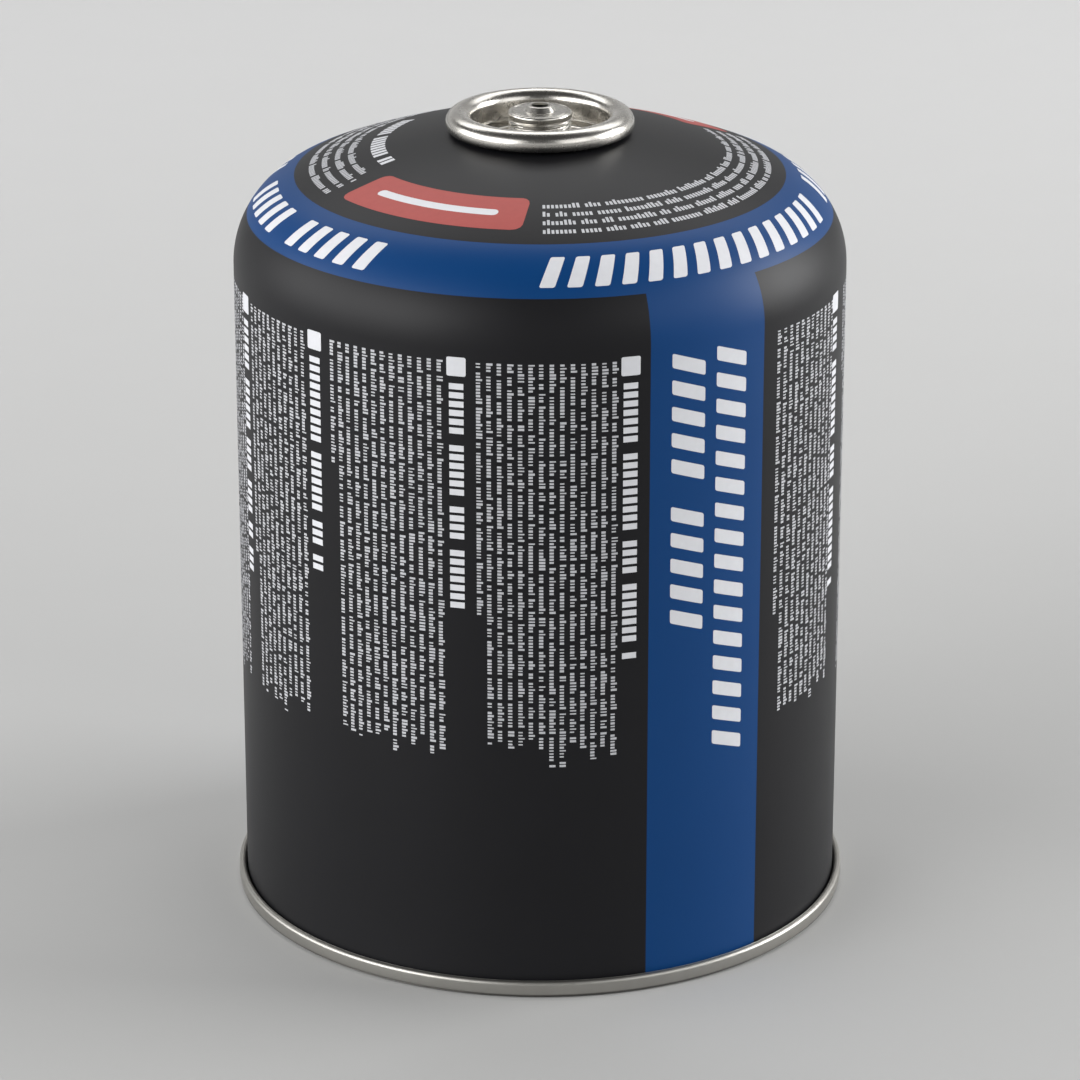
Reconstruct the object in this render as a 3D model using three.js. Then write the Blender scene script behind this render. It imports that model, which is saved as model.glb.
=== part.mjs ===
// Screw-on fuel canister: a drawn steel can with a domed base seamed to it and a threaded
// valve cup clinched into its neck. Millimetres, +Z up, the origin on the standing plane
// under the centre. Every section below is half of a turned shape, as [radius, height].

import * as THREE from "three";

// Steel can body
const bodyRadius = 53.5; // outside of the straight wall
const canSheet = 0.3; // steel thickness of the body and of the base
const wallTop = 116.7; // where the straight wall turns into the shoulder
const shoulderRadius = 16.5; // bend from the wall to the crown
const shoulderEndSlope = 22.6; // degrees, where the shoulder meets the flatter crown

// Double seam between the body and the base
const layerGap = 0.2; // between the folded layers, for the sealing compound
const seamHeight = 3;
const hookBend = 0.5; // middle of the sheet, at both folded hooks
const standBend = 0.65; // middle of the sheet, at both edges of the standing ring
const hookEndGap = 0.1; // how far a hook's edge stays back from the straight stretch's end

// Domed base
const chuckDepth = 4.2; // height of the straight wall inside the seam
const chuckBend = 1.2; // from that wall to the dome
const baseDomeTop = 12; // middle of the sheet, at the centre of the dome

// Neck of the can, a rolled bead round the valve opening
const neckBore = 12.7; // one inch valve opening
const neckBead = 1.42; // radius of the rolled bead
const neckBeadRise = 1.244; // centre of the bead above the crown
const neckDepth = 1.75; // from the bead's centre to the neck's lower edge
const neckWellGap = 0.7; // round the cup's bulge, below the neck
const neckWellFloorGap = 1.6; // below the valve housing

// Valve cup, one drawn piece
const cupSheet = 0.35;
const cupNeckGap = 0.4; // between the cup's wall and the neck's bore
const cupDepth = 7.225; // from the top of the roll to the well's floor
const cupFloorBend = 1;
const clinchSpan = 2; // height of the bulge that grips under the neck
const clinchBulge = 1.21;
const curlInnerBend = 1.3;
const curlOuterBend = 1.1;
const curlOverhang = 0.11; // how far the roll stands out past the bead
const skirtFlare = 0.69; // how far the skirt stands out past the roll
const skirtStepRise = 0.68; // middle of the step above the bead's centre
const skirtStep = 0.9; // height of the step from the roll to the skirt
const skirtDrop = 0.65; // the skirt's edge below the bead's centre
const skirtTuck = 0.25; // how far the skirt's edge is pressed in

// Threaded boss in the cup's middle, 7/16 inch across
const bossRadius = 5.5;
const bossDrop = 0.1; // the boss's top below the roll's
const bossEdgeBend = 0.4;
const bossFootBend = 0.8;
const nippleRise = 0.9;
const nippleHole = 1.5;
const nippleTopWidth = 0.36; // of the flat round the hole
const nippleFootWidth = 1.35; // from the hole to the nipple's foot
const nippleBend = 0.35;

// Seal between the cup and the bead
const sealThickness = 0.4;
const sealWidth = 1.2;
const sealGap = 0.13; // above the bead
const sealCover = 0.15; // between the seal and the roll above it

// Valve inside the boss
const fitGap = 0.1; // between the stacked valve pieces
const valveSideGap = 0.3; // between the boss and what it holds
const stemSealThickness = 0.85;
const housingLength = 15.4;
const housingFloor = 2;
const housingWall = 1.65;
const inletRadius = 1;
const stemPinGap = 0.3; // between the stem's pin and the nipple's hole
const stemPinDrop = 0.8; // the pin's tip below the nipple's top
const stemSideGap = 0.5; // between the stem's flange and the housing
const stemFlangeThickness = 1.3;
const stemSealGap = 0.2;
const stemHoleGap = 0.35; // between the pin and the hole in its seal
const stemTailLength = 4.4;

// Return spring
const wireRadius = 0.25;
const springGap = 0.1; // at each end of the spring
const springTurns = 6;
const springClearance = 0.65; // between the coil and the bore
const tailClearance = 0.75; // between the stem's tail and the coil

// Fineness of the turned shapes
const canSides = 48;
const cupSides = 32;
const valveSides = 24;
const wireSides = 6;
const stepsPerTurn = 10;

// Points on an arc round a centre, its angles in degrees from the outward direction.
function arc(centre, radius, from, to, steps) {
  const points = [];
  for (let i = 0; i <= steps; i += 1) {
    const angle = THREE.MathUtils.degToRad(from + ((to - from) * i) / steps);
    points.push([centre[0] + radius * Math.cos(angle), centre[1] + radius * Math.sin(angle)]);
  }
  return points;
}

// Straight lines through corner points, each corner [radius, height, bend radius, steps].
function bentLine(corners) {
  const points = [];
  corners.forEach((corner, i) => {
    const here = new THREE.Vector2(corner[0], corner[1]);
    if (!corner[2]) {
      points.push([here.x, here.y]);
      return;
    }
    const back = new THREE.Vector2(corners[i - 1][0], corners[i - 1][1]).sub(here).normalize();
    const on = new THREE.Vector2(corners[i + 1][0], corners[i + 1][1]).sub(here).normalize();
    const half = Math.acos(THREE.MathUtils.clamp(back.dot(on), -1, 1)) / 2;
    const middle = back.clone().add(on).normalize();
    const centre = here.clone().addScaledVector(middle, corner[2] / Math.sin(half));
    const tangent = corner[2] / Math.tan(half);
    const start = here.clone().addScaledVector(back, tangent).sub(centre);
    const turn = Math.sign(back.x * on.y - back.y * on.x) * (Math.PI - 2 * half);
    const steps = corner[3];
    for (let k = 0; k <= steps; k += 1) {
      const point = start.clone().rotateAround(new THREE.Vector2(), (-turn * k) / steps).add(centre);
      points.push([point.x, point.y]);
    }
  });
  return points;
}

// Drops points that repeat the one before them.
function withoutRepeats(points) {
  return points.filter((point, i) => {
    const last = points[i - 1];
    return i === 0 || Math.hypot(point[0] - last[0], point[1] - last[1]) > 1e-3;
  });
}

// Both faces of a bent sheet, from the line through the middle of its thickness.
function sheetSection(middle, thickness) {
  const line = withoutRepeats(middle);
  const faces = [[], []];
  line.forEach((point, i) => {
    const before = line[Math.max(i - 1, 0)];
    const here = line[Math.min(i, line.length - 2)];
    const after = line[Math.min(i + 1, line.length - 1)];
    const start = i === 0 ? [point, after] : [before, point];
    const end = i === line.length - 1 ? [before, point] : [here, after];
    const first = new THREE.Vector2(start[1][0] - start[0][0], start[1][1] - start[0][1]).normalize();
    const second = new THREE.Vector2(end[1][0] - end[0][0], end[1][1] - end[0][1]).normalize();
    const along = first.clone().add(second).normalize();
    const reach = thickness / 2 / along.dot(first);
    faces.forEach((face, side) => {
      const sign = side === 0 ? -1 : 1;
      const radius = point[0] - sign * along.y * reach;
      face.push([point[0] < 1e-6 ? 0 : radius, point[1] + sign * along.x * reach]);
    });
  });
  return [...faces[0], ...faces[1].reverse()];
}

// A closed solid of revolution. The section may run either way round.
function turned(section, sides) {
  const outline = withoutRepeats(section);
  const first = outline[0];
  const last = outline[outline.length - 1];
  if (first[0] > 1e-6 || last[0] > 1e-6) {
    outline.push([...first]);
  }
  let area = 0;
  outline.forEach((point, i) => {
    const next = outline[(i + 1) % outline.length];
    area += point[0] * next[1] - next[0] * point[1];
  });
  if (area < 0) {
    outline.reverse();
  }
  const points = outline.map((point) => new THREE.Vector2(point[0], point[1]));
  return new THREE.LatheGeometry(points, sides).rotateX(Math.PI / 2);
}

// Radii of the folded layers of the double seam, each at the middle of its sheet
const layerPitch = canSheet + layerGap;
const wallMiddle = bodyRadius - canSheet / 2;
const seamMiddle = wallMiddle + 3 * layerPitch;
const bodyHookMiddle = wallMiddle + 2 * layerPitch;
const baseHookMiddle = wallMiddle + layerPitch;
const chuckMiddle = wallMiddle - layerPitch;

// Heights of the two folds of the seam, at the middle of the sheet
const standMiddle = canSheet / 2;
const seamTopMiddle = seamHeight - canSheet / 2;
const bodyFoldCentre = standMiddle + layerPitch + hookBend;
const seamFoldCentre = seamTopMiddle - hookBend;

// Dome of the base: a wide arc that runs smoothly into the bend at its edge
const chuckBendCentre = chuckMiddle - chuckBend;
const domeRise = baseDomeTop - chuckDepth;
const domeRadius =
  (chuckBendCentre ** 2 + domeRise ** 2 - chuckBend ** 2) / (2 * (domeRise - chuckBend));
const domeCentre = baseDomeTop - domeRadius;
const domeEdge = THREE.MathUtils.radToDeg(Math.atan2(chuckDepth - domeCentre, chuckBendCentre));

// The dome and its edge, some way off the middle of the base's sheet, from the wall inwards
function domeLine(offset) {
  return [
    ...arc([chuckBendCentre, chuckDepth], chuckBend + offset, 0, domeEdge, 3),
    ...arc([0, domeCentre], domeRadius + offset, domeEdge, 90, 5),
  ];
}

// Crown of the can: an arc that carries on from the shoulder at its end slope
const shoulderCentre = [bodyRadius - shoulderRadius, wallTop];
const crownEdge = 90 - shoulderEndSlope;
const crownRadius =
  shoulderRadius + shoulderCentre[0] / Math.sin(THREE.MathUtils.degToRad(shoulderEndSlope));
const crownCentre =
  wallTop - (crownRadius - shoulderRadius) * Math.cos(THREE.MathUtils.degToRad(shoulderEndSlope));

// The neck's bead stands on the crown
const beadRadius = neckBore + neckBead;
const crownAtBead = crownCentre + Math.sqrt(crownRadius ** 2 - beadRadius ** 2);
const beadCentre = [beadRadius, crownAtBead + neckBeadRise];
const neckUnderside = beadCentre[1] - neckDepth;

// Where the crown runs into the bead: the two circles' crossing
const beadFromCrown = new THREE.Vector2(beadCentre[0], beadCentre[1] - crownCentre);
const crossing =
  (crownRadius ** 2 + beadFromCrown.lengthSq() - neckBead ** 2) /
  (2 * crownRadius * beadFromCrown.length());
const crownEnd =
  THREE.MathUtils.radToDeg(beadFromCrown.angle()) -
  THREE.MathUtils.radToDeg(Math.acos(THREE.MathUtils.clamp(crossing, -1, 1)));
const crownLast = arc([0, crownCentre], crownRadius, crownEnd, crownEnd, 1)[0];
const beadStart = THREE.MathUtils.radToDeg(
  Math.atan2(crownLast[1] - beadCentre[1], crownLast[0] - beadCentre[0]),
);

// Heights and radii of the cup, from the bead that it is clinched to
const sealFoot = beadCentre[1] + neckBead + sealGap;
const cupTop = sealFoot + sealThickness + sealCover + cupSheet;
const cupFloor = cupTop - cupDepth;
const cupWallMiddle = neckBore - cupNeckGap - cupSheet / 2;
const clinchTop = neckUnderside;
const clinchMiddle = clinchTop - clinchSpan / 2;
const clinchFoot = clinchTop - clinchSpan;
const curlMiddle = beadRadius + neckBead + curlOverhang - cupSheet / 2;
const skirtMiddle = curlMiddle + skirtFlare;
const skirtStepTop = beadCentre[1] + skirtStepRise + skirtStep / 2;
const skirtFoot = beadCentre[1] - skirtDrop;
const bossTop = cupTop - bossDrop;
const nippleTop = bossTop + nippleRise;

// What the boss holds, stacked from its top down
const bossInside = bossRadius - cupSheet - valveSideGap;
const stemSealTop = bossTop - cupSheet - fitGap;
const stemSealFoot = stemSealTop - stemSealThickness;
const housingTop = stemSealFoot - fitGap;
const housingFoot = housingTop - housingLength;
const housingBore = bossInside - housingWall;
const springSeat = housingFoot + housingFloor;
const springMiddle = housingBore - springClearance - wireRadius;
const flangeTop = stemSealFoot - stemSealGap;
const flangeFoot = flangeTop - stemFlangeThickness;
const flangeRadius = housingBore - stemSideGap;
const pinRadius = nippleHole - stemPinGap;
const tailRadius = springMiddle - wireRadius - tailClearance;

// Room inside the neck for the cup and the housing
const neckWellRadius = cupWallMiddle + clinchBulge + cupSheet / 2 + neckWellGap;
const neckWellFloor = housingFoot - neckWellFloorGap;

// The can with its sealed filling is one solid. Its flange folds into the seam at the foot.
function canBody() {
  const inside = bodyRadius - canSheet;
  const fold = [baseHookMiddle, bodyFoldCentre];
  const hookTop = seamFoldCentre - hookEndGap;
  return turned(
    [
      [neckBore, neckUnderside],
      [neckWellRadius, neckUnderside],
      [neckWellRadius, neckWellFloor],
      [0, neckWellFloor],
      ...domeLine(canSheet / 2 + layerGap).reverse(),
      [inside, bodyFoldCentre],
      ...arc(fold, hookBend + canSheet / 2, 180, 360, 4),
      [bodyHookMiddle + canSheet / 2, hookTop],
      [bodyHookMiddle - canSheet / 2, hookTop],
      ...arc(fold, hookBend - canSheet / 2, 360, 180, 4),
      ...arc(shoulderCentre, shoulderRadius, 0, crownEdge, 7),
      ...arc([0, crownCentre], crownRadius, crownEdge, crownEnd, 5),
      ...arc(beadCentre, neckBead, beadStart, 180, 8),
    ],
    canSides,
  );
}

// The base: a hook under the body's flange, the standing ring, the inner wall and the dome.
function baseEnd() {
  const middle = [
    ...bentLine([
      [baseHookMiddle, bodyFoldCentre + hookEndGap],
      [baseHookMiddle, seamTopMiddle, hookBend, 2],
      [seamMiddle, seamTopMiddle, hookBend, 2],
      [seamMiddle, standMiddle, standBend, 2],
      [chuckMiddle, standMiddle, standBend, 2],
      [chuckMiddle, chuckDepth],
    ]),
    ...domeLine(0),
  ];
  return turned(sheetSection(middle, canSheet), canSides);
}

// Half a wave that carries the sheet smoothly from one radius and height to another
function waveLine(from, to, steps) {
  const points = [];
  for (let i = 0; i <= steps; i += 1) {
    const part = (1 - Math.cos((Math.PI * i) / steps)) / 2;
    points.push([from[0] + (to[0] - from[0]) * part, from[1] + ((to[1] - from[1]) * i) / steps]);
  }
  return points;
}

// The valve cup: nipple, boss, well, clinched wall, roll over the bead and skirt, in one sheet.
function valveCup() {
  const half = cupSheet / 2;
  const boss = bossRadius - half;
  const floor = cupFloor - half;
  const clinch = cupWallMiddle + clinchBulge;
  const middle = [
    ...bentLine([
      [nippleHole, nippleTop - half],
      [nippleHole + nippleTopWidth + nippleBend / 2, nippleTop - half, nippleBend, 2],
      [nippleHole + nippleFootWidth - nippleBend / 2, bossTop - half, nippleBend, 1],
      [boss, bossTop - half, bossEdgeBend, 2],
      [boss, floor, bossFootBend, 2],
      [cupWallMiddle, floor, cupFloorBend, 3],
      [cupWallMiddle, clinchFoot],
    ]),
    ...waveLine([cupWallMiddle, clinchFoot], [clinch, clinchMiddle], 4),
    ...waveLine([clinch, clinchMiddle], [cupWallMiddle, clinchTop], 4),
    ...bentLine([
      [cupWallMiddle, clinchTop],
      [cupWallMiddle, cupTop - half, curlInnerBend, 3],
      [curlMiddle, cupTop - half, curlOuterBend, 3],
      [curlMiddle, skirtStepTop],
    ]),
    ...waveLine([curlMiddle, skirtStepTop], [skirtMiddle, skirtStepTop - skirtStep], 4),
    [skirtMiddle, skirtFoot + skirtTuck],
    [skirtMiddle - skirtTuck, skirtFoot],
  ];
  return turned(sheetSection(middle, cupSheet), cupSides);
}

// A flat ring or a washer
function ring(inner, outer, low, high, sides) {
  return turned([[inner, low], [outer, low], [outer, high], [inner, high]], sides);
}

// The seal lies on the bead, under the roll of the cup.
function cupGasket() {
  const inner = beadRadius - sealWidth / 2;
  return ring(inner, inner + sealWidth, sealFoot, sealFoot + sealThickness, cupSides);
}

function stemGasket() {
  return ring(pinRadius + stemHoleGap, bossInside, stemSealFoot, stemSealTop, valveSides);
}

function valveHousing() {
  return turned(
    [
      [inletRadius, housingFoot],
      [bossInside, housingFoot],
      [bossInside, housingTop],
      [housingBore, housingTop],
      [housingBore, springSeat],
      [inletRadius, springSeat],
    ],
    valveSides,
  );
}

function valveStem() {
  return turned(
    [
      [0, flangeFoot - stemTailLength],
      [tailRadius, flangeFoot - stemTailLength],
      [tailRadius, flangeFoot],
      [flangeRadius, flangeFoot],
      [flangeRadius, flangeTop],
      [pinRadius, flangeTop],
      [pinRadius, nippleTop - stemPinDrop],
      [0, nippleTop - stemPinDrop],
    ],
    valveSides,
  );
}

// The line through the middle of the spring's wire
class SpringLine extends THREE.Curve {
  getPoint(t, target = new THREE.Vector3()) {
    const low = springSeat + springGap + wireRadius;
    const high = flangeFoot - springGap - wireRadius;
    const angle = 2 * Math.PI * springTurns * t;
    const x = springMiddle * Math.cos(angle);
    const y = springMiddle * Math.sin(angle);
    return target.set(x, y, low + (high - low) * t);
  }
}

function valveSpring() {
  const wire = new THREE.Shape();
  for (let i = 0; i < wireSides; i += 1) {
    const angle = (2 * Math.PI * i) / wireSides;
    const x = wireRadius * Math.cos(angle);
    const y = wireRadius * Math.sin(angle);
    if (i === 0) {
      wire.moveTo(x, y);
    } else {
      wire.lineTo(x, y);
    }
  }
  wire.closePath();
  const steps = springTurns * stepsPerTurn;
  return new THREE.ExtrudeGeometry(wire, { extrudePath: new SpringLine(), steps });
}

// Finishes
const blackEnamel = new THREE.MeshStandardMaterial({ color: 0x24252a, roughness: 0.42, metalness: 0.1 });
const tinplate = new THREE.MeshStandardMaterial({ color: 0xc4c3be, roughness: 0.3, metalness: 1 });
const brightTinplate = new THREE.MeshStandardMaterial({ color: 0xcdcbc4, roughness: 0.2, metalness: 1 });
const rubber = new THREE.MeshStandardMaterial({ color: 0x1a1a1a, roughness: 0.8, metalness: 0 });
const acetal = new THREE.MeshStandardMaterial({ color: 0xe4e2d8, roughness: 0.5, metalness: 0 });
const springSteel = new THREE.MeshStandardMaterial({ color: 0x9a9a9a, roughness: 0.35, metalness: 1 });

const canister = new THREE.Group();

function add(name, geometry, material) {
  const mesh = new THREE.Mesh(geometry, material);
  mesh.name = name;
  canister.add(mesh);
}

add("can_body", canBody(), blackEnamel);
add("base_end", baseEnd(), tinplate);
add("valve_cup", valveCup(), brightTinplate);
add("cup_gasket", cupGasket(), rubber);
add("stem_gasket", stemGasket(), rubber);
add("valve_housing", valveHousing(), acetal);
add("valve_stem", valveStem(), acetal);
add("valve_spring", valveSpring(), springSteel);

export default canister;
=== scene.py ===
import math

import bpy
import numpy as np
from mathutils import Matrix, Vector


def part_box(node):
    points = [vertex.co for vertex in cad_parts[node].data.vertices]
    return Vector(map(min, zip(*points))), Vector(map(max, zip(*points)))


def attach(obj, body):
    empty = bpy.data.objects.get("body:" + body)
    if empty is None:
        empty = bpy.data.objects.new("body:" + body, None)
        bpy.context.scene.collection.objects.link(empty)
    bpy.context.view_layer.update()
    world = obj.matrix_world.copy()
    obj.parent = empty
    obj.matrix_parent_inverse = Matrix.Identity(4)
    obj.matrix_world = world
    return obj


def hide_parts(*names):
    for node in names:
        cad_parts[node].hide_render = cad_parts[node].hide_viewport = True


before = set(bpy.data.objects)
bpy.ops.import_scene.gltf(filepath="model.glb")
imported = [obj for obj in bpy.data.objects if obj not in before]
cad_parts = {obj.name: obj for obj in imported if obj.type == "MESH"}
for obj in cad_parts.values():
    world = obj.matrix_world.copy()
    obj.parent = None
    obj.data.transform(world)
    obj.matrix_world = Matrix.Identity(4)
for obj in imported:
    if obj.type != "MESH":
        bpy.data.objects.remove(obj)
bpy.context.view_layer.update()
mm = 0.001
print("frame loaded")

# Sizes shared by the pieces, in millimetres, read from the frame where it holds them
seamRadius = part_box("base_end")[1].x / mm
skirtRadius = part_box("valve_cup")[1].x / mm
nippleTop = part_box("valve_cup")[1].z / mm
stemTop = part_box("valve_stem")[1].z / mm
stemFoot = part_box("valve_stem")[0].z / mm
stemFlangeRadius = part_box("valve_stem")[1].x / mm

canSheet = 0.3
seamPitch = 0.5  # one sheet and the gap beside it
wallRadius = seamRadius - 3 * seamPitch
hair = 0.01  # keeps neighbouring stretches of an outline from sharing a point

camera = {"distance": 837.6, "pitch": 20.767, "aimHeight": 63.82, "lens": 156.12, "sensor": 36}

skin = {
    "wallTop": 116.7,
    "shoulderRadius": 16.5,
    "shoulderEndSlope": 22.6,  # degrees, where the shoulder meets the crown
    "plainRows": [20.0, 60.0],  # heights of the wall's two rows of points
    "sides": 288,
}


# Camera first, at the photograph's angle


def setCamera(size):
    pitch = math.radians(size["pitch"])
    data = bpy.data.cameras.new("viewCamera")
    data.lens = size["lens"]
    data.sensor_width = size["sensor"]
    seen = bpy.data.objects.new("viewCamera", data)
    back = size["distance"] * mm
    seen.location = (0, -back * math.cos(pitch), size["aimHeight"] * mm + back * math.sin(pitch))
    seen.rotation_euler = (math.radians(90) - pitch, 0, 0)
    bpy.context.collection.objects.link(seen)
    bpy.context.scene.camera = seen


setCamera(camera)


# Lines and surfaces


def ovalLine(centre, wide, high, start, end, steps):
    # radius = centre + wide * cos(t), height = centre + high * sin(t), for t in degrees from start to end
    angle = np.radians(np.linspace(start, end, steps + 1))
    return np.stack([centre[0] + wide * np.cos(angle), centre[1] + high * np.sin(angle)], 1)


def arcPoints(centre, radius, start, end, steps):
    return ovalLine(centre, radius, radius, start, end, steps)


def bentLine(corners, step=12):
    # straight lines between corners [radius, height, bend], each corner rounded by a tangent arc
    # with a point every few degrees
    points = []
    for i, (r, z, bend) in enumerate(corners):
        here = np.array([r, z], float)
        if not bend:
            points.append(here[None])
            continue
        back = np.array(corners[i - 1][:2]) - here
        ahead = np.array(corners[i + 1][:2]) - here
        back, ahead = back / np.linalg.norm(back), ahead / np.linalg.norm(ahead)
        half = math.acos(np.clip(back @ ahead, -1, 1)) / 2
        middle = (back + ahead) / np.linalg.norm(back + ahead)
        centre = here + middle * bend / math.sin(half)
        first = here + back * bend / math.tan(half) - centre
        turn = -np.sign(back[0] * ahead[1] - back[1] * ahead[0]) * (math.pi - 2 * half)
        angle = np.linspace(0, turn, max(2, round(math.degrees(abs(turn)) / step)) + 1)
        spun = [np.cos(angle) * first[0] - np.sin(angle) * first[1],
                np.sin(angle) * first[0] + np.cos(angle) * first[1]]
        points.append(np.stack(spun, 1) + centre)
    return np.concatenate(points)


def waveLine(start, end, steps):
    # half a cosine wave in radius while the height runs evenly
    part = np.linspace(0, 1, steps + 1)[:, None]
    wave = np.concatenate([(1 - np.cos(math.pi * part)) / 2, part], 1)
    return np.array(start) + (np.array(end) - np.array(start)) * wave


def sheetOutline(middle, thickness):
    # both faces of a sheet: the middle line moved along its mitred normals by half the thickness
    keep = np.r_[True, np.linalg.norm(np.diff(middle, axis=0), axis=1) > 1e-4]
    line = middle[keep]
    along = np.diff(line, axis=0)
    along /= np.linalg.norm(along, axis=1)[:, None]
    before = np.r_[along[:1], along]
    after = np.r_[along, along[-1:]]
    mean = before + after
    mean /= np.linalg.norm(mean, axis=1)[:, None]
    reach = thickness / 2 / np.clip((mean * before).sum(1), 0.5, 1)
    offset = np.stack([-mean[:, 1], mean[:, 0]], 1) * reach[:, None]
    offset[line[:, 0] < 1e-6, 0] = 0
    return np.concatenate([line + offset, (line - offset)[::-1]])


def makePiece(name, vertices, faces, material, body, sharp=30):
    # a mesh from millimetres; edges that turn by more than the sharp angle, in degrees, stay hard
    mesh = bpy.data.meshes.new(name)
    mesh.from_pydata(np.asarray(vertices) * mm, [], faces)
    mesh.polygons.foreach_set("use_smooth", np.ones(len(mesh.polygons), bool))
    mesh.set_sharp_from_angle(angle=math.radians(sharp))
    mesh.materials.append(material)
    mesh.validate()
    piece = bpy.data.objects.new(name, mesh)
    bpy.context.collection.objects.link(piece)
    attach(piece, body)
    return piece


def turnedMesh(outline, sides, change=None):
    # a section carried round the axis: x = r sin(a), y = -r cos(a), z = z, closed or from pole to pole
    area = np.sum(outline[:, 0] * np.roll(outline[:, 1], -1) - np.roll(outline[:, 0], -1) * outline[:, 1])
    outline = outline if area > 0 else outline[::-1]
    onAxis = outline[:, 0] < 1e-6
    if onAxis.any():
        while not (onAxis[0] and onAxis[-1]):
            outline, onAxis = np.roll(outline, 1, 0), np.roll(onAxis, 1)
    angle = np.arange(sides) * 2 * math.pi / sides
    r = np.repeat(outline[:, :1], sides, 1)
    z = np.repeat(outline[:, 1:], sides, 1)
    if change:
        r, z = change(r, z, angle[None])
    vertices = np.stack([r * np.sin(angle), -r * np.cos(angle), z], 2)
    rows = len(outline)
    ring = np.arange(sides)
    following = np.roll(ring, -1)
    if not onAxis.any():
        low = np.arange(rows)[:, None] * sides
        high = np.roll(low, -1, 0)
        quads = np.stack([low + ring, low + following, high + following, high + ring], 2)
        return vertices.reshape(-1, 3), quads.reshape(-1, 4).tolist()
    low = np.arange(rows - 3)[:, None] * sides
    high = low + sides
    quads = np.stack([low + ring, low + following, high + following, high + ring], 2).reshape(-1, 4)
    body = vertices[1:-1].reshape(-1, 3)
    poles = np.array([[0, 0, outline[0, 1]], [0, 0, outline[-1, 1]]])
    last = (rows - 3) * sides
    foot = np.stack([np.full(sides, len(body)), following, ring], 1)
    head = np.stack([np.full(sides, len(body) + 1), last + ring, last + following], 1)
    return np.concatenate([body, poles]), quads.tolist() + foot.tolist() + head.tolist()


# Materials


def hexColour(code):
    # sRGB hex to the linear values that a shader takes
    value = np.array([int(code[i:i + 2], 16) for i in (0, 2, 4)]) / 255
    linear = np.where(value <= 0.04045, value / 12.92, ((value + 0.055) / 1.055) ** 2.4)
    return (*linear.tolist(), 1.0)


def addNode(tree, kind, settings=None, inputs=None):
    made = tree.nodes.new("ShaderNode" + kind)
    for name, value in (settings or {}).items():
        setattr(made, name, value)
    for name, value in (inputs or {}).items():
        if isinstance(value, bpy.types.Node):
            value = value.outputs[0]
        if isinstance(value, bpy.types.NodeSocket):
            tree.links.new(value, made.inputs[name])
        else:
            made.inputs[name].default_value = value
    return made


def blendColours(tree, share, first, second):
    # the first colour where the share is 0, the second where it is 1
    return addNode(tree, "Mix", {"data_type": "RGBA"}, {0: share, 6: first, 7: second}).outputs[2]


def newMaterial(name):
    material = bpy.data.materials.new(name)
    material.use_nodes = True
    tree = material.node_tree
    tree.nodes.clear()
    shader = addNode(tree, "BsdfPrincipled")
    addNode(tree, "OutputMaterial", inputs={"Surface": shader.outputs["BSDF"]})
    place = addNode(tree, "TexCoord").outputs["Object"]
    return material, tree, shader, place


paint = {
    "black": ["121214", "151518"],  # two shades that run into each other
    "blue": ["00366A", "00396E"],
    "bandLow": 125.4,  # heights of the band's edges on the shoulder
    "bandHigh": 132.2,
    "stripeFrom": 20.0,  # degrees round the can from the front
    "stripeTo": 44.6,
    "peelSize": 0.9,  # orange peel of the stoved enamel, mm
    "peelDepth": 0.1,
    "roughness": [0.42, 0.47],
    "reflection": 0.19,
}


def satinEnamel():
    # Stoving enamel, roller coated on tinplate: satin black, a blue field printed over it,
    # and a faint orange peel that softens the highlights
    material, tree, shader, place = newMaterial("satinEnamel")
    xyz = addNode(tree, "SeparateXYZ", inputs={0: place})
    front = addNode(tree, "Math", {"operation": "MULTIPLY"}, {0: xyz.outputs[1], 1: -1.0})
    turn = addNode(tree, "Math", {"operation": "ARCTAN2"}, {0: xyz.outputs[0], 1: front})
    half = math.radians(paint["stripeTo"] - paint["stripeFrom"]) / 2
    centre = math.radians(paint["stripeTo"] + paint["stripeFrom"]) / 2
    height = xyz.outputs[2]

    stripe = addNode(tree, "Math", {"operation": "COMPARE"}, {0: turn, 1: centre, 2: half})
    opposite = addNode(tree, "Math", {"operation": "COMPARE"}, {0: turn, 1: centre - math.pi, 2: half})
    stripes = addNode(tree, "Math", {"operation": "MAXIMUM"}, {0: stripe, 1: opposite})
    below = addNode(tree, "Math", {"operation": "LESS_THAN"}, {0: height, 1: paint["bandHigh"] * mm})
    above = addNode(tree, "Math", {"operation": "GREATER_THAN"}, {0: height, 1: paint["bandLow"] * mm})
    field = addNode(tree, "Math", {"operation": "MAXIMUM"}, {0: above, 1: stripes})
    blue = addNode(tree, "Math", {"operation": "MULTIPLY"}, {0: field, 1: below})

    cloud = addNode(tree, "TexNoise", inputs={"Vector": place, "Scale": 60.0, "Detail": 3.0})
    blackShade = blendColours(tree, cloud, *[hexColour(code) for code in paint["black"]])
    blueShade = blendColours(tree, cloud, *[hexColour(code) for code in paint["blue"]])
    tree.links.new(blendColours(tree, blue, blackShade, blueShade), shader.inputs["Base Color"])

    low, high = paint["roughness"]
    rough = addNode(tree, "MapRange", inputs={"Value": cloud, "To Min": low, "To Max": high})
    tree.links.new(rough.outputs[0], shader.inputs["Roughness"])
    peel = addNode(tree, "TexNoise", inputs={"Vector": place, "Scale": 1 / (paint["peelSize"] * mm)})
    bump = addNode(tree, "Bump",
                   inputs={"Height": peel, "Strength": 0.04, "Distance": paint["peelDepth"] * mm})
    tree.links.new(bump.outputs[0], shader.inputs["Normal"])
    shader.inputs["Specular IOR Level"].default_value = paint["reflection"]
    return material


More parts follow.
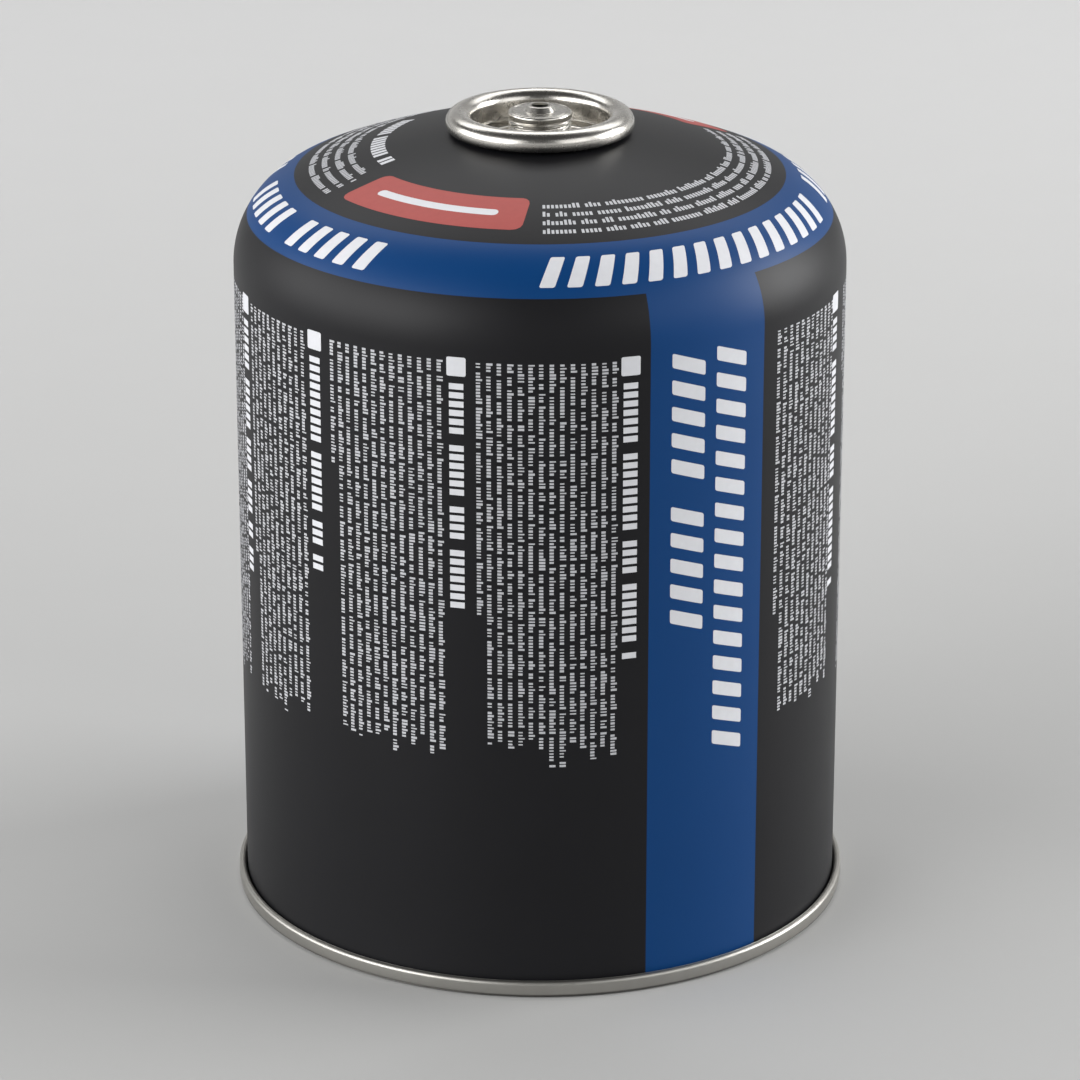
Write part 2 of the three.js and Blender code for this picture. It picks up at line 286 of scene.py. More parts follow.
def printInk(name, code, shade):
    # Screen ink, stoved on the enamel: flat and satin, a little thinner here and there
    material, tree, shader, place = newMaterial(name)
    film = addNode(tree, "TexNoise", inputs={"Vector": place, "Scale": 900.0, "Detail": 2.0})
    tree.links.new(blendColours(tree, film, hexColour(code), hexColour(shade)), shader.inputs["Base Color"])
    shader.inputs["Roughness"].default_value = 0.5
    shader.inputs["Specular IOR Level"].default_value = 0.35
    return material


def turnedMetal(name, code, shade, roughness, markSize, strength, contactShadeHeight=0.0):
    # Sheet metal drawn over a turned die: fine rings round the axis, a soft cloudiness, and painted contact
    # shade that darkens the edge standing on the ground, up to a height in mm
    material, tree, shader, place = newMaterial(name)
    xyz = addNode(tree, "SeparateXYZ", inputs={0: place})
    flat = addNode(tree, "CombineXYZ", inputs={0: xyz.outputs[0], 1: xyz.outputs[1], 2: 0.0})
    radius = addNode(tree, "VectorMath", {"operation": "LENGTH"}, {0: flat})
    section = addNode(tree, "CombineXYZ", inputs={0: radius.outputs["Value"], 1: xyz.outputs[2], 2: 0.0})
    scale = 1 / (markSize * mm)
    marks = addNode(tree, "TexNoise", inputs={"Vector": section, "Scale": scale, "Detail": 2.0})
    cloud = addNode(tree, "TexNoise", inputs={"Vector": place, "Scale": 350.0, "Detail": 3.0})
    colour = blendColours(tree, cloud, hexColour(code), hexColour(shade))
    if contactShadeHeight:
        # painted contact shade: the colour falls to a quarter at the foot of the standing edge, where it
        # meets the floor
        unshadedShare = addNode(tree, "MapRange", {"interpolation_type": "SMOOTHSTEP"},
                        {"Value": xyz.outputs[2], "From Min": 0.4 * contactShadeHeight * mm, "From Max": contactShadeHeight * mm,
                         "To Min": 0.25, "To Max": 1.0})
        colour = addNode(tree, "VectorMath", {"operation": "SCALE"}, {0: colour, "Scale": unshadedShare}).outputs[0]
    tree.links.new(colour, shader.inputs["Base Color"])
    low, high = roughness
    rough = addNode(tree, "MapRange", inputs={"Value": cloud, "To Min": low, "To Max": high})
    tree.links.new(rough.outputs[0], shader.inputs["Roughness"])
    bump = addNode(tree, "Bump", inputs={"Height": marks, "Strength": strength, "Distance": 0.05 * mm})
    tree.links.new(bump.outputs[0], shader.inputs["Normal"])
    shader.inputs["Metallic"].default_value = 1.0
    return material


def mouldedPart(name, code, shade, roughness, grain):
    # Moulded acetal or rubber: an even colour with a fine sparked or pressed grain
    material, tree, shader, place = newMaterial(name)
    noise = addNode(tree, "TexNoise", inputs={"Vector": place, "Scale": 1 / (grain * mm), "Detail": 3.0})
    tree.links.new(blendColours(tree, noise, hexColour(code), hexColour(shade)), shader.inputs["Base Color"])
    bump = addNode(tree, "Bump", inputs={"Height": noise, "Strength": 0.15, "Distance": 0.05 * mm})
    tree.links.new(bump.outputs[0], shader.inputs["Normal"])
    shader.inputs["Roughness"].default_value = roughness
    return material


enamel = satinEnamel()
whiteInk = printInk("whiteInk", "D2D3D7", "C8C9CD")
fineInk = printInk("fineInk", "BDBEC2", "B1B2B6")
redInk = printInk("redInk", "A34640", "993F3A")
# the base seam's foot carries painted contact shade up to 0.8 mm
mattTinplate = turnedMetal("mattTinplate", "A9A7A2", "9D9B96", roughness=(0.38, 0.46), markSize=0.12,
                           strength=0.25, contactShadeHeight=0.8)
brightTinplate = turnedMetal("brightTinplate", "CAC7C1", "BCB9B3", roughness=(0.24, 0.3), markSize=0.4,
                             strength=0.03)
springSteel = turnedMetal("springSteel", "A5A5A3", "8C8C8A", roughness=(0.3, 0.4), markSize=0.05,
                          strength=0.2)
acetal = mouldedPart("naturalAcetal", "E6E3D8", "DCD9CD", roughness=0.45, grain=0.3)
nitrileRubber = mouldedPart("nitrileRubber", "1B1B1C", "232324", roughness=0.75, grain=0.2)
print("materials made")


# The painted can: one sheet from the hook in the base seam to the curl round the valve opening

shoulderCentre = np.array([wallRadius - skin["shoulderRadius"], skin["wallTop"]])
endSlope = math.radians(skin["shoulderEndSlope"])
crownRadius = skin["shoulderRadius"] + shoulderCentre[0] / math.sin(endSlope)
crownCentre = skin["wallTop"] - (crownRadius - skin["shoulderRadius"]) * math.cos(endSlope)
shoulderLength = skin["shoulderRadius"] * (math.pi / 2 - endSlope)

neck = {"bore": 12.7, "bead": 1.42, "beadHeight": 140.95, "bend": 0.7, "curlEnd": -40}
seam = {
    "height": 3.0,
    "hookBend": 0.5,
    "canHookDrop": 0.75,  # from the rim down to the end of the can's hook
    "endHookFoot": 1.25,  # height of the end of the base's hook
    "standBend": 0.65,
    "chuckBend": 1.2,
    "chuckDepth": 4.2,
    "domeTop": 12.0,
    "wallRows": 34,
    "rimGroove": [54.2, 0.05, 0.12],  # radius, width and depth
    "rimFoot": 2.65,  # the rim's groove is rolled above this height
    "bulge": 0.07,  # how much the outer wall curves
    "bulgeMiddle": 1.8,
    "bulgeSpan": 1.5,  # height from the middle to where the curve is full
    "bulgeReach": 0.14,  # how far in from the seam's radius the curve acts
}


def canShell():
    half = canSheet / 2
    wall = wallRadius - half
    fold = [wall + seamPitch, half + seamPitch + seam["hookBend"]]
    crownStart = 90 - skin["shoulderEndSlope"]
    crownEnd = math.degrees(math.acos((neck["bore"] + half + neck["bend"]) / crownRadius))
    crownAtNeck = crownCentre + math.sqrt((crownRadius - half) ** 2 - (neck["bore"] + half) ** 2)
    neckCentre = [neck["bore"] + half + neck["bend"], crownAtNeck + neck["bend"]]
    beadCentre = [neck["bore"] + neck["bead"], neck["beadHeight"]]
    middle = np.concatenate([
        [[wall + 2 * seamPitch, seam["height"] - seam["canHookDrop"]]],
        arcPoints(fold, seam["hookBend"], 0, -180, 10),
        [[wall, height] for height in skin["plainRows"]],
        arcPoints(shoulderCentre, skin["shoulderRadius"] - half, 0, crownStart, 44),
        arcPoints([0, crownCentre], crownRadius - half, crownStart, crownEnd, 26)[1:],
        arcPoints(neckCentre, neck["bend"], 260, 180, 6),
        arcPoints(beadCentre, neck["bead"] - half, 180, neck["curlEnd"], 20),
    ])
    vertices, faces = turnedMesh(sheetOutline(middle, canSheet), skin["sides"])
    piece = makePiece("paintedCan", vertices, faces, enamel, "canister")
    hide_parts("can_body")


canShell()


# The base: hook, seam wall, standing ring, inner wall and dome


def rolledSeam(r, z, angle):
    # marks of the seaming rolls: on the rim, z less depth * exp(-((r - radius) / width) squared);
    # on the outer wall, r less bulge * ((z - middle) / span) squared, at most the bulge
    radius, width, depth = seam["rimGroove"]
    rim = depth * np.exp(-((r - radius) / width) ** 2) * (z > seam["rimFoot"])
    curve = seam["bulge"] * ((z - seam["bulgeMiddle"]) / seam["bulgeSpan"]) ** 2
    return r - np.clip(curve, 0, seam["bulge"]) * (r > seamRadius - seam["bulgeReach"]), z - rim


def baseSeam():
    half = canSheet / 2
    wall = wallRadius - half
    chuck = wall - seamPitch
    bendCentre = chuck - seam["chuckBend"]
    rise = seam["domeTop"] - seam["chuckDepth"]
    domeRadius = (bendCentre ** 2 + rise ** 2 - seam["chuckBend"] ** 2) / (2 * (rise - seam["chuckBend"]))
    domeCentre = seam["domeTop"] - domeRadius
    edge = math.degrees(math.atan2(seam["chuckDepth"] - domeCentre, bendCentre))
    top = seam["height"] - half
    outer = wall + 3 * seamPitch
    outerHigh = top - seam["hookBend"] - hair
    outerLow = half + seam["standBend"] + hair
    rows = seam["wallRows"]
    middle = np.concatenate([
        [[wall + seamPitch, seam["endHookFoot"]]],
        arcPoints([wall + 2 * seamPitch, top - seam["hookBend"]], seam["hookBend"], 180, 0, 60),
        np.stack([np.full(rows, outer), np.linspace(outerHigh, outerLow, rows)], 1),
        bentLine([
            [outer, outerLow, 0],
            [outer, half, seam["standBend"]],
            [chuck, half, seam["standBend"]],
            [chuck, seam["chuckDepth"], 0],
        ], 5),
        arcPoints([bendCentre, seam["chuckDepth"]], seam["chuckBend"], 0, edge, 8),
        arcPoints([0, domeCentre], domeRadius, edge, 90, 24)[1:],
    ])
    middle[-1, 0] = 0
    vertices, faces = turnedMesh(sheetOutline(middle, canSheet), skin["sides"], rolledSeam)
    piece = makePiece("baseEnd", vertices, faces, mattTinplate, "canister")
    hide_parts("base_end")


baseSeam()


# The valve cup, in one drawn sheet with a rolled thread

cup = {
    "sheet": 0.35,
    "top": 143.4,
    "wallInside": 11.95,
    "floor": 136.175,
    "floorBend": 1.0,
    "clinchHeight": 138.2,
    "clinchSpan": 2.0,
    "clinchBulge": 1.21,
    "innerRoll": [1.9, 1.6],  # width and height of the roll's inner quarter
    "outerRoll": 1.75,  # height of its outer quarter
    "skirtRoll": [0.65, 1.1],  # width and height of the oval that leads to the skirt's edge
    "skirtRollHeight": 141.301,  # of the oval's middle
    "skirtRollTurn": 65,  # degrees
    "bossRadius": 5.5,
    "bossTop": 143.3,
    "bossEdge": 0.28,  # bend at its top
    "bossFootBend": 0.8,
    "flatPoints": 36,
    "wallPoints": 70,
    "grooveRadius": 4.84,
    "grooveDepth": 0.2,
    "grooveWidth": 0.1,
    "grooveFrom": 3.35,  # the groove is pressed outside this radius
    "grooveReach": 0.05,  # and down to this depth, so that the sheet's lower face stays flat
    "threadPitch": 25.4 / 28,
    "threadDepth": 0.42,
    "threadShape": 0.8,  # below 1 the crests are narrower than the roots
    "threadFrom": 136.9,
    "threadTo": 142.3,
    "nippleFoot": 2.85,
    "nippleHead": 1.86,
    "nippleBend": 0.3,
    "slopeInset": 0.17,  # moves both ends of the nipple's slope towards its middle
    "flatStart": 0.1,  # from the nipple's foot
    "hole": 1.5,
    "sides": 208,
}


def rolledThread(r, z, angle):
    # wave = (1 - cos(turns)) / 2, where turns = height / pitch - angle / 360 degrees; on the boss's wall,
    # r less depth * wave to the power of the shape, faded out over half a pitch at both ends.
    # On top of the boss, z less the groove's depth * exp(-((r - groove radius) / groove width) squared)
    pitch = cup["threadPitch"]
    fadeIn = np.clip((z - cup["threadFrom"]) / pitch * 2, 0, 1)
    fadeOut = np.clip((cup["threadTo"] - z) / pitch * 2, 0, 1)
    onBoss = (r < cup["bossRadius"] + hair) & (r > cup["bossRadius"] - cup["sheet"] - 2 * hair)
    wave = 0.5 - 0.5 * np.cos(2 * math.pi * (z / pitch - angle / (2 * math.pi)))
    thread = cup["threadDepth"] * wave ** cup["threadShape"] * fadeIn * fadeOut
    onTop = (z > cup["bossTop"] - cup["grooveReach"]) & (r > cup["grooveFrom"]) & (r < cup["bossRadius"])
    groove = cup["grooveDepth"] * np.exp(-((r - cup["grooveRadius"]) / cup["grooveWidth"]) ** 2)
    return r - thread * onBoss, z - groove * onTop


def valveCup():
    half = cup["sheet"] / 2
    boss = cup["bossRadius"] - half
    floor = cup["floor"] - half
    wall = cup["wallInside"] + half
    skirt = skirtRadius - half
    clinchLow = cup["clinchHeight"] - cup["clinchSpan"] / 2
    clinchHigh = cup["clinchHeight"] + cup["clinchSpan"] / 2
    top = cup["bossTop"] - half
    rollTop = cup["top"] - half
    clinch = [wall + cup["clinchBulge"], cup["clinchHeight"]]
    innerWide, innerHigh = cup["innerRoll"]
    crest = wall + innerWide
    outerHigh = cup["outerRoll"]
    skirtWide, skirtHigh = cup["skirtRoll"]
    flatFrom = cup["nippleFoot"] + cup["flatStart"]
    flatTo = boss - cup["bossEdge"] - hair
    wallFoot = floor + cup["bossFootBend"] + hair
    across = np.linspace(flatFrom, flatTo, cup["flatPoints"])
    down = np.linspace(top - cup["sheet"], wallFoot + hair, cup["wallPoints"])
    middle = np.concatenate([
        bentLine([
            [cup["hole"], nippleTop - half, 0],
            [cup["nippleHead"] + cup["slopeInset"], nippleTop - half, cup["nippleBend"]],
            [cup["nippleFoot"] - cup["slopeInset"], top, cup["nippleBend"]],
            [flatFrom - hair, top, 0],
        ], 8),
        np.stack([across, np.full_like(across, top)], 1),
        arcPoints([boss - cup["bossEdge"], top - cup["bossEdge"]], cup["bossEdge"], 90, 0, 8),
        np.stack([np.full_like(down, boss), down], 1),
        bentLine([
            [boss, wallFoot, 0],
            [boss, floor, cup["bossFootBend"]],
            [wall, floor, cup["floorBend"]],
            [wall, clinchLow, 0],
        ], 6),
        waveLine([wall, clinchLow], clinch, 9),
        waveLine(clinch, [wall, clinchHigh], 9),
        ovalLine([crest, rollTop - innerHigh], innerWide, innerHigh, 180, 90, 16),
        ovalLine([crest, rollTop - outerHigh], skirt - crest, outerHigh, 90, 0, 20),
        ovalLine([skirt - skirtWide, cup["skirtRollHeight"]], skirtWide, skirtHigh,
                 0, -cup["skirtRollTurn"], 9),
    ])
    vertices, faces = turnedMesh(sheetOutline(middle, cup["sheet"]), cup["sides"], rolledThread)
    piece = makePiece("valveCup", vertices, faces, brightTinplate, "canister", 40)
    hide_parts("valve_cup")


valveCup()


# The valve stem: pin, sealing flange and tail

stem = {
    "pinRadius": 1.2,
    "flangeTop": 141.8,
    "flangeThickness": 1.3,
    "tailRadius": 1.3,
    "endBend": 0.3,
    "flangeBend": 0.2,
    "pinFootBend": 0.15,
    "sides": 96,
}


def valveStem():
    flangeFoot = stem["flangeTop"] - stem["flangeThickness"]
    outline = bentLine([
        [0, stemFoot, 0],
        [stem["tailRadius"], stemFoot, stem["endBend"]],
        [stem["tailRadius"], flangeFoot, stem["flangeBend"]],
        [stemFlangeRadius, flangeFoot, stem["flangeBend"]],
        [stemFlangeRadius, stem["flangeTop"], stem["flangeBend"]],
        [stem["pinRadius"], stem["flangeTop"], stem["pinFootBend"]],
        [stem["pinRadius"], stemTop, stem["endBend"]],
        [0, stemTop, 0],
    ])
    vertices, faces = turnedMesh(outline, stem["sides"])
    piece = makePiece("valveStem", vertices, faces, acetal, "stem")
    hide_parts("valve_stem")


valveStem()


# The hidden pieces keep their solids, in their own finishes

hiddenFinishes = {
    "cup_gasket": nitrileRubber,
    "stem_gasket": nitrileRubber,
    "valve_housing": acetal,
    "valve_spring": springSteel,
}


def finishHidden():
    for nodeName, finish in hiddenFinishes.items():
        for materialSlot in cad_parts[nodeName].material_slots:
            materialSlot.material = finish


finishHidden()
print("can, base and valve made")


# Print: raised ink on the can's skin, placed by azimuth and by length along the skin from the foot

ink = {"thickness": 0.02, "sunk": 0.03, "wordLetters": [2, 11], "seed": 11}
random = np.random.default_rng(ink["seed"])


def skinPoint(azimuth, length, lift):
    # wall: radius fixed, height = length; shoulder: a small circle; crown: a wide circle round a point
    # on the axis. Azimuth in radians from the front towards +X, lift in mm along the outward normal
    beyond = length - skin["wallTop"]
    bend = np.clip(beyond / skin["shoulderRadius"], 0, math.pi / 2 - endSlope)
    extra = np.clip(beyond - shoulderLength, 0, None) / crownRadius
    tilt = bend + extra  # of the normal above the horizontal
    onCrown = extra > 0
    radius = np.where(onCrown, crownRadius * np.cos(tilt),
                      shoulderCentre[0] + skin["shoulderRadius"] * np.cos(bend))
    height = np.where(onCrown, crownCentre + crownRadius * np.sin(tilt),
                      np.minimum(length, skin["wallTop"]) + skin["shoulderRadius"] * np.sin(bend))
    radius = radius + lift * np.cos(tilt)
    height = height + lift * np.sin(tilt)
    return np.stack([radius * np.sin(azimuth), -radius * np.cos(azimuth), height], -1)


def skinRadius(length):
    point = skinPoint(np.zeros_like(length), length, 0.0)
    return -point[..., 1]


def inkBoxes(name, azimuth, length, width, tall, material):
    # one flat box for each mark, azimuth +- width / 2 and length +- tall / 2,
    # from under the skin to the ink's top
    side = np.array([[-1, -1], [1, -1], [1, 1], [-1, 1]]) / 2
    turn = azimuth[:, None] + side[:, 0] * (width / skinRadius(length))[:, None]
    along = length[:, None] + side[:, 1] * tall[:, None]
    low = skinPoint(turn, along, -ink["sunk"])
    high = skinPoint(turn, along, ink["thickness"])
    vertices = np.concatenate([low, high], 1).reshape(-1, 3)
    box = np.array([[3, 2, 1, 0], [4, 5, 6, 7], [0, 1, 5, 4], [1, 2, 6, 5], [2, 3, 7, 6], [3, 0, 4, 7]])
    faces = (np.arange(len(azimuth))[:, None, None] * 8 + box).reshape(-1, 4)
    return makePiece(name, vertices, faces.tolist(), material, "canister")


def inkShapes(name, azimuth, length, width, tall, corner, shear, rise, material, columns=8,
              lift=ink["thickness"]):
    # rounded bars as rows of points: height = tall / 2 - corner (1 - sin(t)) and
    # half width = width / 2 - corner (1 - cos(t)) at the corners, full width between them;
    # then across += shear * up, up += rise * across, laid on the skin round each place
    t = np.radians([90, 60, 30, 0])
    middleRows = max(3, round(tall))
    edge = tall / 2 - corner * (1 - np.sin(t))
    between = np.linspace(-edge[-1], edge[-1], middleRows)[1:-1]
    halfWidth = width / 2 - corner * (1 - np.cos(t))
    up = np.concatenate([-edge, between, edge[::-1]])
    halfWidth = np.concatenate([halfWidth, np.full(len(between), width / 2), halfWidth[::-1]])
    across = halfWidth[:, None] * np.linspace(-1, 1, columns + 1)
    up = up[:, None] + rise * across
    across = across + shear * up
    turn = azimuth[:, None, None] + across / skinRadius(length)[:, None, None]
    along = length[:, None, None] + up
    rows, side = up.shape
    grid = rows * side
    top = skinPoint(turn, along, lift).reshape(-1, grid, 3)
    under = skinPoint(turn, along, -ink["sunk"]).reshape(-1, grid, 3)
    vertices = np.concatenate([top, under], 1).reshape(-1, 3)
    number = np.arange(grid).reshape(rows, side)
    cap = np.stack([number[:-1, :-1], number[:-1, 1:], number[1:, 1:], number[1:, :-1]], 2).reshape(-1, 4)
    rim = np.concatenate([number[0], number[1:, -1], number[-1, -2::-1], number[-2:0:-1, 0]])
    following = np.roll(rim, -1)
    wall = np.stack([rim, rim + grid, following + grid, following], 1)
    quads = np.concatenate([cap, cap[:, ::-1] + grid, wall])
    faces = (np.arange(len(azimuth))[:, None, None] * 2 * grid + quads).reshape(-1, 4)
    return makePiece(name, vertices, faces.tolist(), material, "canister")


def greekedMarks(rows, slots):
    # which letter slots of each row hold a mark: words of random length with one empty slot between them
    words = random.integers(*ink["wordLetters"], (rows, slots)) + 1
    ends = np.cumsum(words, 1)
    empty = np.zeros((rows, slots + 1), bool)
    np.put_along_axis(empty, np.minimum(ends - 1, slots), True, 1)
    return ~empty[:, :slots]


finePrint = {
    "linePitch": 1.87,  # degrees
    "advance": 0.56,
    "markWidths": [0.24, 0.34, 0.4],
    "heights": [0.72, 0.72, 0.72, 1.05],
    "top": 115.0,
    "bottoms": [42.5, 47.5],  # heights between which a line ends
    "lastBottoms": [60, 100],  # the same for a column's last line
}
headings = {
    "advance": 1.55,
    "markWidth": 1.05,
    "height": 2.5,
    "lengths": [50, 48, 40, 41, 50],
    "tab": 3.3,
    "tabCorner": 0.3,
    "tabRise": 0.6,  # above the fine print's top
    "tabGap": 1.2,
}

# Columns of greeked text in half a turn: azimuths of the heading and of the first line, number of lines
textColumns = [
    (71.5, 69.3, 12),
    (109.3, 107.0, 16),
    (135.0, 131.6, 11),
    (165.0, 161.8, 13),
    (196.3, 193.3, 14),
]


def wallText():
    # every column's lines run down the wall, each mark beside the last
    for half in range(2):
        for number, (headingAt, firstAt, count) in enumerate(textColumns):
            slots = int((finePrint["top"] - finePrint["bottoms"][0]) / finePrint["advance"])
            marks = greekedMarks(count, slots)
            ends = random.uniform(*finePrint["bottoms"], count)
            ends[-1] = random.uniform(*finePrint["lastBottoms"])
            azimuth = firstAt - finePrint["linePitch"] * np.arange(count) + 180 * half
            height = finePrint["top"] - finePrint["advance"] * (np.arange(slots) + 0.5)
            marks &= height[None] > ends[:, None]
            line, slotAt = np.nonzero(marks)
            tall = random.choice(finePrint["heights"], len(line))
            shift = (tall - finePrint["heights"][0]) / 2  # tall marks rise above the line
            at = np.radians(azimuth[line]) + shift / wallRadius
            inkBoxes(f"finePrint{half}{number}", at, height[slotAt], tall,
                     random.choice(finePrint["markWidths"], len(line)), fineInk)

            steps = int(headings["lengths"][number] / headings["advance"])
            words = greekedMarks(1, steps)[0]
            headingTop = finePrint["top"] - headings["tab"] - headings["tabGap"]
            at = headingTop - headings["advance"] * np.arange(steps)[words]
            where = np.full(len(at), math.radians(headingAt + 180 * half))
            inkBoxes(f"heading{half}{number}", where, at, np.full(len(at), headings["height"]),
                     np.full(len(at), headings["markWidth"]), whiteInk)
            tabAt = finePrint["top"] + headings["tabRise"] - headings["tab"] / 2
            inkShapes(f"headingTab{half}{number}", where[:1], np.array([tabAt]), headings["tab"],
                      headings["tab"], headings["tabCorner"], 0.0, 0.0, whiteInk)


wallText()


crownText = {
    "rows": [147.3, 144.9, 142.5, 140.1],  # length along the skin of each row
    "turns": [[0.5, 118.0], [180.5, 296.0]],  # degrees, from and to
    "advance": 0.72,
    "markWidth": 0.46,
    "heights": [1.0, 1.0, 1.0, 1.4],
    "bigRow": 152.2,
    "bigTurn": [235.0, 297.0],
    "bigHeight": 2.6,
    "bigWidth": 1.0,
    "bigAdvance": 1.5,
}


def rowMarks(row, start, end, advance):
    # azimuths of the marks in a row round the axis, from start to end in degrees
    step = advance / float(skinRadius(np.array(row)))
    slots = int(math.radians(end - start) / step)
    used = np.nonzero(greekedMarks(1, slots)[0])[0]
    return math.radians(start) + step * (used + 0.5)


def crownPrint():
    # rows follow circles round the axis, each mark turned to its own place on the circle
    for number, (start, end) in enumerate(crownText["turns"]):
        places = []
        for row in crownText["rows"]:
            at = rowMarks(row, start, end, crownText["advance"])
            places.append(np.stack([at, np.full(len(at), row)], 1))
        places = np.concatenate(places)
        tall = random.choice(crownText["heights"], len(places))
        shift = (tall - crownText["heights"][0]) / 2  # tall marks rise above the row
        inkBoxes(f"crownText{number}", places[:, 0], places[:, 1] + shift,
                 np.full(len(places), crownText["markWidth"]), tall, fineInk)
    at = rowMarks(crownText["bigRow"], *crownText["bigTurn"], crownText["bigAdvance"])
    full = np.ones(len(at))
    inkBoxes("crownHeading0", at, full * crownText["bigRow"], full * crownText["bigWidth"],
             full * crownText["bigHeight"], whiteInk)


crownPrint()


# Slanted hatch bars along the band and down the stripe

hatch = {
    "bandMiddle": 130.75,
    "bandHeight": 5.9,
    "bandWidth": 2.5,
    "bandPitch": 5.3,  # degrees
    "bandGroups": [(2.5, 15), (91.0, 5), (122.5, 5)],  # azimuth of the first bar, number of bars
    "lean": 0.35,  # across for each mm up
    "corner": 0.35,
    "stripeColumns": [(36.75, 114.3, 16), (27.55, 114.3, 5), (27.55, 87.3, 5)],  # azimuth, top, number
    "stripeWidth": 6.3,
    "stripeTall": 2.5,
    "stripePitch": 4.62,
    "stripeStart": 0.3,  # of a pitch, from a group's top to its first bar's middle
}


def hatchBars():
    for half in range(2):
        azimuth = np.concatenate([start + hatch["bandPitch"] * np.arange(count)
                                  for start, count in hatch["bandGroups"]]) + 180 * half
        inkShapes(f"bandBars{half}", np.radians(azimuth), np.full(len(azimuth), hatch["bandMiddle"]),
                  hatch["bandWidth"], hatch["bandHeight"], hatch["corner"], hatch["lean"], 0.0, whiteInk)
        columns = []
        for at, top, count in hatch["stripeColumns"]:
            heights = top - hatch["stripePitch"] * (np.arange(count) + hatch["stripeStart"])
            columns.append(np.stack([np.full(count, at), heights], 1))
        columns = np.concatenate(columns)
        inkShapes(f"stripeBars{half}", np.radians(columns[:, 0] + 180 * half), columns[:, 1],
                  hatch["stripeWidth"], hatch["stripeTall"], hatch["corner"], 0.0, -hatch["lean"], whiteInk)


hatchBars()


# A plain red tab with one pale bar across it, curved with the crown

redTab = {
    "middleAt": -31.3,  # degrees round the can from the front
    "length": 145.2,  # along the skin
    "width": 33.5,
    "tall": 9.3,
    "corner": 1.6,
    "columns": 36,
    "lean": 0.12,
    "barWidth": 24.0,
    "barTall": 1.7,
    "barCorner": 0.8,
    "barColumns": 30,
}


def crownTab():
    for half in range(2):
        where = np.radians([redTab["middleAt"] + 180 * half])
        length = np.array([redTab["length"]])
        inkShapes(f"redTab{half}", where, length, redTab["width"], redTab["tall"], redTab["corner"],
                  redTab["lean"], 0.0, redInk, redTab["columns"])
        inkShapes(f"tabBar{half}", where, length, redTab["barWidth"], redTab["barTall"], redTab["barCorner"],
                  redTab["lean"], 0.0, whiteInk, redTab["barColumns"], 2 * ink["thickness"])


crownTab()
print("print made")


# Studio, in metres: a wide pale floor, five soft lamps and a pale backdrop

studio = {
    "floorSize": 16.0,
    "floorCells": 40,
    # near and far greys: painted light, the floor paler towards the back in place of the lamps' fall-off
    "nearColour": "AEAEAD",
    "farColour": "C2C2C2",
    "fadeFrom": -0.05,  # along Y
    "fadeTo": 0.75,
    "backdrop": "D2D2D2",
    "ceiling": "3A3A3A",
    "ceilingFrom": 0.12,  # upward part of the direction
    "ceilingTo": 0.5,
    "room": "D8D8D8",
    "roomStrength": 0.28,
}

# Each lamp's place, the height that it faces on the axis, its width and height, and its watts
lamps = {
    "leftLight": [(-1.46, -0.44, 0.54), 0.07, 2.4, 1.0, 33],
    "rightLight": [(1.58, 0.26, 0.54), 0.07, 1.0, 1.0, 32],
    "backLight": [(0.05, 0.94, 1.15), 0.1, 2.0, 0.65, 11],
    "frontLeftLight": [(-0.95, -0.9, 0.75), 0.07, 1.0, 1.0, 5.8],
    "frontRightLight": [(0.95, -0.9, 0.75), 0.07, 1.0, 1.0, 5.2],
}


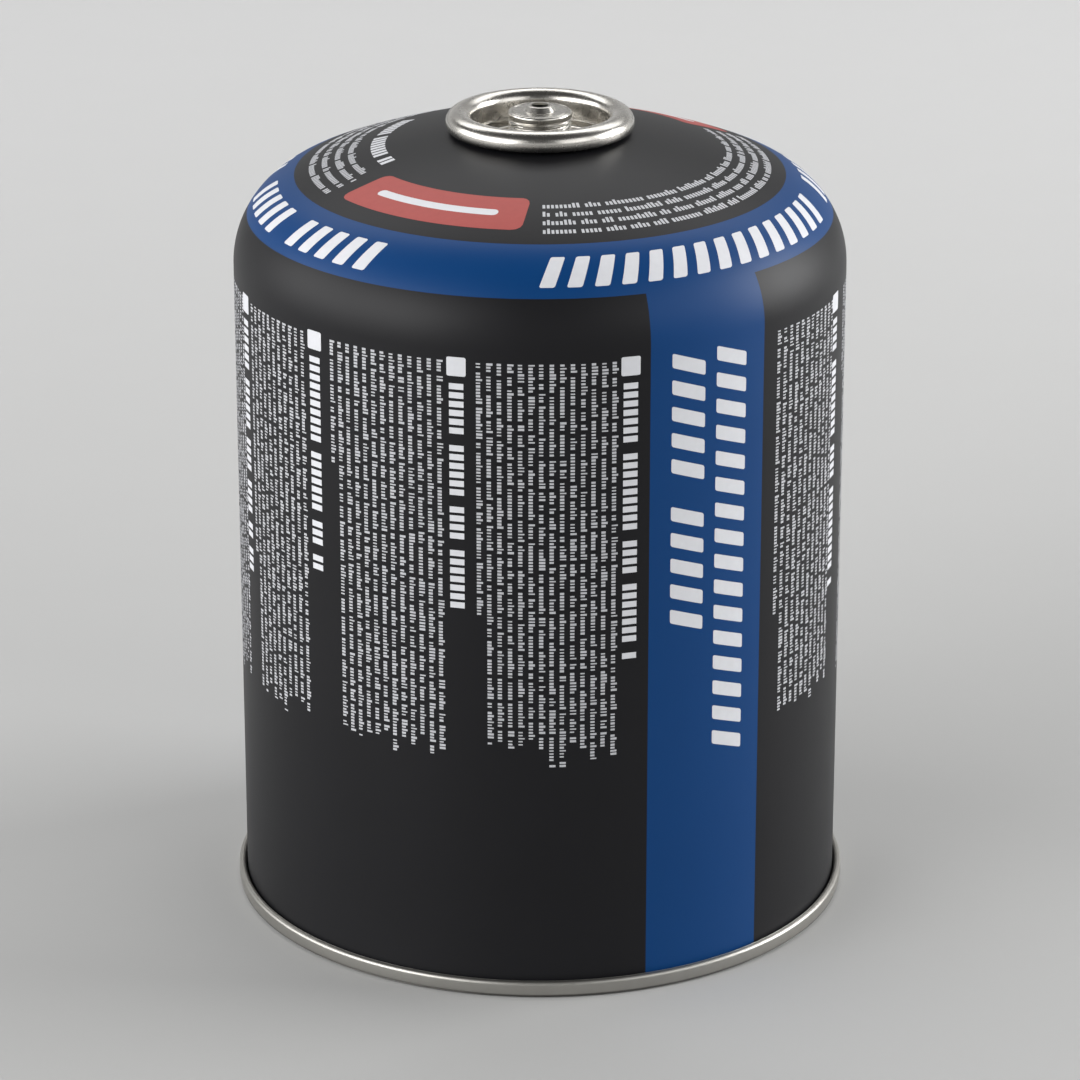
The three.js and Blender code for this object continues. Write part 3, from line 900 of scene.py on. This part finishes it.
def studioFloor():
    # a flat grid far wider than the view
    side = studio["floorSize"] / 2
    cells = studio["floorCells"]
    line = np.linspace(-side, side, cells + 1)
    x, y = np.meshgrid(line, line)
    vertices = np.stack([x, y, np.zeros_like(x)], 2).reshape(-1, 3)
    corner = np.arange(cells)[:, None] * (cells + 1) + np.arange(cells)
    faces = np.stack([corner, corner + 1, corner + cells + 2, corner + cells + 1], 2).reshape(-1, 4)
    mesh = bpy.data.meshes.new("studioFloor")
    mesh.from_pydata(vertices, [], faces.tolist())
    material, tree, shader, place = newMaterial("studioPaper")
    # Matt seamless paper with a slight fibre mottle; its grey runs paler towards the back, which is painted
    # light
    depth = addNode(tree, "SeparateXYZ", inputs={0: place}).outputs[1]
    paintedLightFade = addNode(tree, "MapRange", {"interpolation_type": "SMOOTHSTEP"},
                   {"Value": depth, "From Min": studio["fadeFrom"], "From Max": studio["fadeTo"]})
    grey = blendColours(tree, paintedLightFade, hexColour(studio["nearColour"]), hexColour(studio["farColour"]))
    mottle = addNode(tree, "TexNoise", inputs={"Vector": place, "Scale": 40.0, "Detail": 4.0})
    level = addNode(tree, "MapRange", inputs={"Value": mottle, "To Min": 0.98, "To Max": 1.0})
    colour = addNode(tree, "VectorMath", {"operation": "SCALE"}, {0: grey, "Scale": level})
    tree.links.new(colour.outputs[0], shader.inputs["Base Color"])
    shader.inputs["Roughness"].default_value = 0.8
    mesh.materials.append(material)
    floor = bpy.data.objects.new("studioFloor", mesh)
    bpy.context.collection.objects.link(floor)


def softLight(name, place, aimHeight, width, height, power):
    data = bpy.data.lights.new(name, "AREA")
    data.shape = "RECTANGLE"
    data.size, data.size_y = width, height
    data.energy = power
    lamp = bpy.data.objects.new(name, data)
    lamp.location = place
    away = np.array(place) - [0, 0, aimHeight]
    flat = math.hypot(away[0], away[1])
    lamp.rotation_euler = (math.atan2(flat, away[2]), 0, math.atan2(away[0], -away[1]))
    bpy.context.collection.objects.link(lamp)


def studioWorld():
    # a dim room for diffuse light; the camera and reflections see a pale backdrop below a dark ceiling
    world = bpy.data.worlds.new("studioWorld")
    bpy.context.scene.world = world
    world.use_nodes = True
    tree = world.node_tree
    backdrop = tree.nodes["Background"]
    direction = addNode(tree, "TexCoord").outputs["Generated"]
    upwards = addNode(tree, "SeparateXYZ", inputs={0: direction}).outputs[2]
    above = addNode(tree, "MapRange", {"interpolation_type": "SMOOTHSTEP"},
                    {"Value": upwards, "From Min": studio["ceilingFrom"], "From Max": studio["ceilingTo"]})
    colour = blendColours(tree, above, hexColour(studio["backdrop"]), hexColour(studio["ceiling"]))
    tree.links.new(colour, backdrop.inputs["Color"])
    room = addNode(tree, "Background",
                   inputs={"Color": hexColour(studio["room"]), "Strength": studio["roomStrength"]})
    path = addNode(tree, "LightPath").outputs
    mirrored = addNode(tree, "Math", {"operation": "MAXIMUM"},
                       {0: path["Is Glossy Ray"], 1: path["Is Transmission Ray"]})
    seen = addNode(tree, "Math", {"operation": "MAXIMUM"}, {0: mirrored, 1: path["Is Camera Ray"]})
    either = addNode(tree, "MixShader", inputs={0: seen, 1: room, 2: backdrop})
    tree.links.new(either.outputs[0], tree.nodes["World Output"].inputs["Surface"])


studioFloor()
for lampName, lamp in lamps.items():
    softLight(lampName, *lamp)
studioWorld()
bpy.context.scene.view_settings.view_transform = "Standard"
print("studio made")
